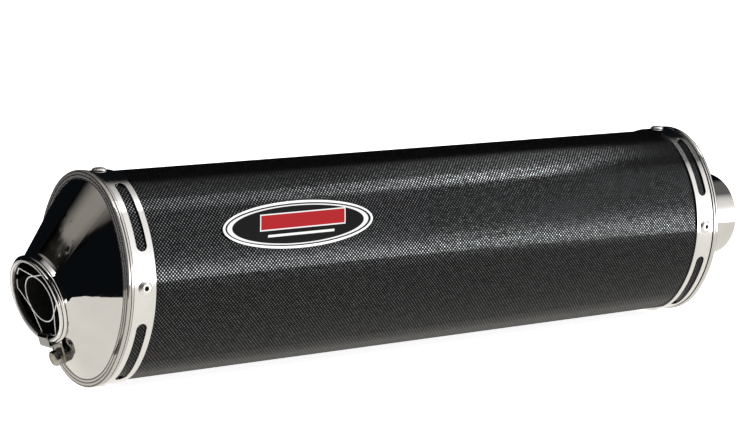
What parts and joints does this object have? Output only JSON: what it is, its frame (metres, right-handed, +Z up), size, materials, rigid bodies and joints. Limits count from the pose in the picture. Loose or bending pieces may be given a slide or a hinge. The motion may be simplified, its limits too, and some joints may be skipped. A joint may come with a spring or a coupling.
{
  "type": "exhaust muffler",
  "caption": "Oval slip-on exhaust muffler: carbon sleeve in riveted straps, inlet socket, cone with a down-tipped outlet and a bolted slide-out noise insert.",
  "frame": {"origin": "centre of the inlet tube's mouth", "axes": "+X out of the inlet mouth along the can's axis, so the can lies towards -X; +Z up, along the oval's height; the badge is on the -Y side and the outlet tips down"},
  "size_m": [0.5409, 0.0974, 0.1254],
  "materials": {
    "carbon_weave": "clear-coated woven carbon",
    "polished_strap": "polished stainless strap",
    "rivet_steel": "bright rivet",
    "pressed_steel": "pressed stainless",
    "mirror_steel": "mirror polished stainless",
    "raw_steel": "plain stainless, heat dulled",
    "steel_wool": "stainless wool, loose",
    "glass_wool": "glass fibre wool, loose",
    "badge_enamel": "dark enamel with a plain stripe",
    "badge_silver": "bright border",
    "insert_steel": "bent stainless sheet",
    "bolt_steel": "zinc plated, lightly tarnished"
  },
  "bodies": {
    "can": {"carbon_sleeve": "carbon_weave", "inlet_band": "polished_strap", "outlet_band": "polished_strap", "inlet_rivets": "rivet_steel", "outlet_rivets": "rivet_steel", "inlet_end_ring": "pressed_steel", "outlet_end_ring": "pressed_steel", "outlet_bulkhead": "pressed_steel", "inlet_end_cap": "mirror_steel", "inlet_tube": "mirror_steel", "perforated_core": "raw_steel", "steel_wool_wrap": "steel_wool", "packing_wool": "glass_wool", "outlet_cone": "mirror_steel", "outlet_stub": "mirror_steel", "outlet_collar": "mirror_steel", "bolt_boss": "raw_steel", "badge_plate": "badge_enamel", "badge_border": "badge_silver"},
    "insert": {"baffle_vane_lower": "insert_steel", "baffle_vane_upper": "insert_steel", "baffle_vane_far": "insert_steel", "baffle_hook": "insert_steel"},
    "washers": {"flat_washer": "bolt_steel", "spring_washer": "bolt_steel"},
    "bolt": {"hook_bolt": "bolt_steel"}
  },
  "joints": [
    {"name": "insert_slide", "type": "slide", "parent": "can", "child": "insert", "axis": [-0.9588, 0, -0.284], "range_m": [0, 0.045]},
    {"name": "washer_slide", "type": "slide", "parent": "insert", "child": "washers", "axis": [-0.9588, 0, -0.284], "range_m": [0, 0.012]},
    {"name": "bolt_turn", "type": "hinge", "parent": "washers", "child": "bolt", "pos_m": [-0.52148, 0, -0.04352], "axis": [-0.9588, 0, -0.284], "range_deg": [0, 5400]}
  ],
  "couplings": [
    {"joint": "bolt_turn", "follows": "washer_slide", "rad_per_m": 7854}
  ]
}
